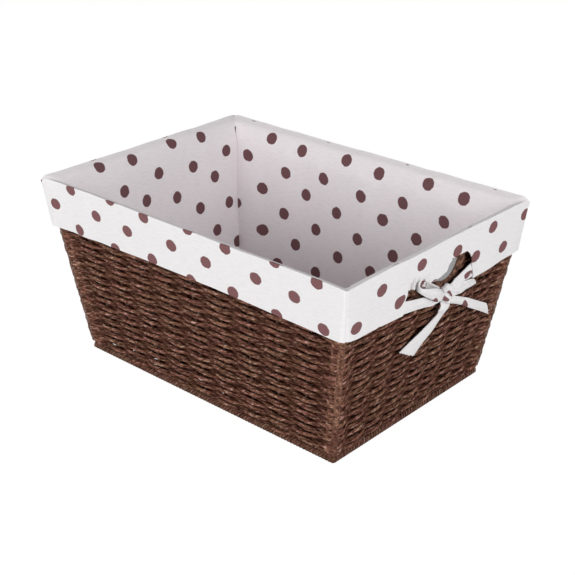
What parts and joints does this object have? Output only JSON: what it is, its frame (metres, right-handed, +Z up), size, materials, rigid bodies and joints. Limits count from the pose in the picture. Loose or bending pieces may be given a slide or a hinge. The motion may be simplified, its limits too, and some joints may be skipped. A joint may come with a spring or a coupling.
{
  "type": "lined rope basket",
  "caption": "Rectangular storage basket of woven dark rope on a wire frame, with hand holes, and a spotted cotton liner folded over the rim and tied with bows.",
  "frame": {"origin": "middle of the base wrap's flat underside, at the middle of the overall length and width", "axes": "+X towards the short side that is on the picture's right, +Y away from the long side at the front, +Z up; modelled empty, standing on its base"},
  "size_m": [0.3876, 0.265, 0.185],
  "materials": {
    "wire_steel": "drawn iron wire, dull grey",
    "dark_rope": "twisted two-ply paper rope, dark brown, matte with a light sheen",
    "brown_wrap": "thin paper cord wound in close turns, brown, matte",
    "cotton": "plain woven cotton, off-white with cut spots, matte",
    "dotted_cotton": "plain woven cotton, off-white with scattered brown round spots, matte"
  },
  "bodies": {
    "root": {"rim_wire": "wire_steel", "base_wire": "wire_steel", "corner_wire_front_left": "wire_steel", "corner_wrap_front_left": "brown_wrap", "corner_wire_front_right": "wire_steel", "corner_wrap_front_right": "brown_wrap", "corner_wire_back_right": "wire_steel", "corner_wrap_back_right": "brown_wrap", "corner_wire_back_left": "wire_steel", "corner_wrap_back_left": "brown_wrap", "cross_stake_1": "wire_steel", "cross_stake_2": "wire_steel", "cross_stake_3": "wire_steel", "cross_stake_4": "wire_steel", "cross_stake_5": "wire_steel", "cross_stake_6": "wire_steel", "cross_stake_7": "wire_steel", "cross_stake_8": "wire_steel", "cross_stake_9": "wire_steel", "long_stake_1": "wire_steel", "long_stake_2": "wire_steel", "long_stake_3": "wire_steel", "long_stake_4": "wire_steel", "long_stake_5": "wire_steel", "long_stake_6": "wire_steel", "long_stake_7": "wire_steel", "handle_wire_right": "wire_steel", "handle_wrap_right": "dark_rope", "handle_wire_left": "wire_steel", "handle_wrap_left": "dark_rope", "rim_wrap": "dark_rope", "base_wrap": "dark_rope", "woven_wall": "dark_rope", "floor_mat": "dark_rope", "liner_front": "dotted_cotton", "liner_back": "dotted_cotton", "liner_left": "dotted_cotton", "liner_right": "dotted_cotton", "liner_floor": "dotted_cotton", "bow_knot_right": "cotton", "bow_tie_near_right": "cotton", "bow_tie_far_right": "cotton", "bow_loop_near_right": "cotton", "bow_loop_far_right": "cotton", "bow_tail_near_right": "cotton", "bow_tail_far_right": "cotton", "bow_knot_left": "cotton", "bow_tie_near_left": "cotton", "bow_tie_far_left": "cotton", "bow_loop_near_left": "cotton", "bow_loop_far_left": "cotton", "bow_tail_near_left": "cotton", "bow_tail_far_left": "cotton"}
  },
  "joints": []
}
